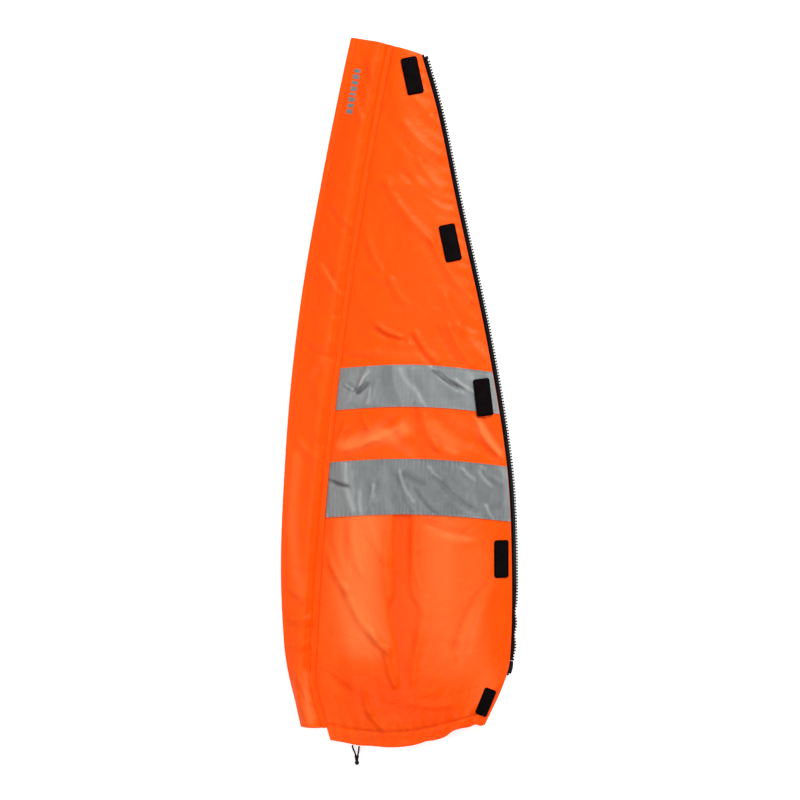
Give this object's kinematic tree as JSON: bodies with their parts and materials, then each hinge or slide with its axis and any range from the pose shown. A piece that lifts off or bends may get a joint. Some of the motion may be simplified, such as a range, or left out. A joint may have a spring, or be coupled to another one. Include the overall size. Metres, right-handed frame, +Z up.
{
  "type": "jacket extension panel",
  "caption": "Padded high-visibility zip-in panel for a jacket: wedge of shell fabric, zip half on each side, storm flap, reflective bands, loop patches, hem drawcord.",
  "frame": {"origin": "middle of the footprint, on the surface that the lining rests on", "axes": "+Z up out of the shell fabric, +Y towards the neck end, +X towards the zip edge that shows"},
  "size_m": [0.2848, 0.8717, 0.0283],
  "materials": {
    "shell_fabric": "fluorescent orange coated twill, satin",
    "facing_fabric": "fluorescent orange twill, matte back",
    "reflective": "silver glass-bead retroreflective tape",
    "hook_and_loop": "black hook-and-loop pile",
    "zip_tape": "black woven tape",
    "moulded_plastic": "black moulded acetal",
    "wadding": "white polyester wadding",
    "lining": "charcoal quilting taffeta",
    "slider_metal": "black coated zinc casting",
    "cord": "black braided elastic cord"
  },
  "bodies": {
    "panel": {"shell_panel": "shell_fabric", "wadding": "wadding", "lining_panel": "lining", "hem_facing": "shell_fabric", "reflective_tape_upper": "reflective", "reflective_tape_lower": "reflective", "loop_patch_neck": "hook_and_loop", "loop_patch_chest": "hook_and_loop", "loop_patch_waist": "hook_and_loop", "loop_patch_hip": "hook_and_loop", "loop_patch_hem": "hook_and_loop", "flap_seam_strip": "shell_fabric", "right_zip_tape": "zip_tape", "right_zip_teeth": "moulded_plastic", "right_zip_top_stop": "moulded_plastic", "right_zip_end_film": "moulded_plastic", "right_zip_pin": "moulded_plastic", "left_zip_tape": "zip_tape", "left_zip_teeth": "moulded_plastic", "left_zip_top_stop": "moulded_plastic", "left_zip_end_film": "moulded_plastic", "left_zip_pin": "moulded_plastic", "left_zip_box": "moulded_plastic", "hem_drawcord": "cord", "drawcord_end_left": "cord", "drawcord_end_right": "cord"},
    "storm_flap": {"storm_flap_outer": "shell_fabric", "flap_interlining": "wadding", "storm_flap_facing": "facing_fabric", "flap_print": "reflective", "hook_patch_neck": "hook_and_loop", "hook_patch_chest": "hook_and_loop", "hook_patch_waist": "hook_and_loop", "hook_patch_hip": "hook_and_loop"},
    "slider": {"slider_body": "slider_metal", "slider_crown": "slider_metal"},
    "puller": {"puller_tab": "slider_metal"},
    "cord_knot": {"drawcord_knot": "cord", "cord_end_ball": "cord"}
  },
  "joints": [
    {"name": "storm_flap_fold", "type": "hinge", "parent": "panel", "child": "storm_flap", "pos_m": [-0.06929, 0.04653, 0.0071], "axis": [0.1196, 0.9928, 0], "range_deg": [0, 150], "deforming": ["storm_flap_outer", "flap_interlining", "storm_flap_facing", "flap_print"]},
    {"name": "slider_travel", "type": "hinge", "parent": "panel", "child": "slider", "pos_m": [4.56097, -0.53051, 0.0035], "axis": [0, 0, -1], "range_deg": [0, 8.9]},
    {"name": "puller_swing", "type": "hinge", "parent": "slider", "child": "puller", "pos_m": [-0.11901, -0.32362, 0.00755], "axis": [-0.999, 0.0442, 0], "range_deg": [0, 180]},
    {"name": "drawcord_pull", "type": "slide", "parent": "panel", "child": "cord_knot", "axis": [0, -1, 0], "range_m": [0, 0.03], "deforming": ["drawcord_end_left", "drawcord_end_right"]}
  ]
}
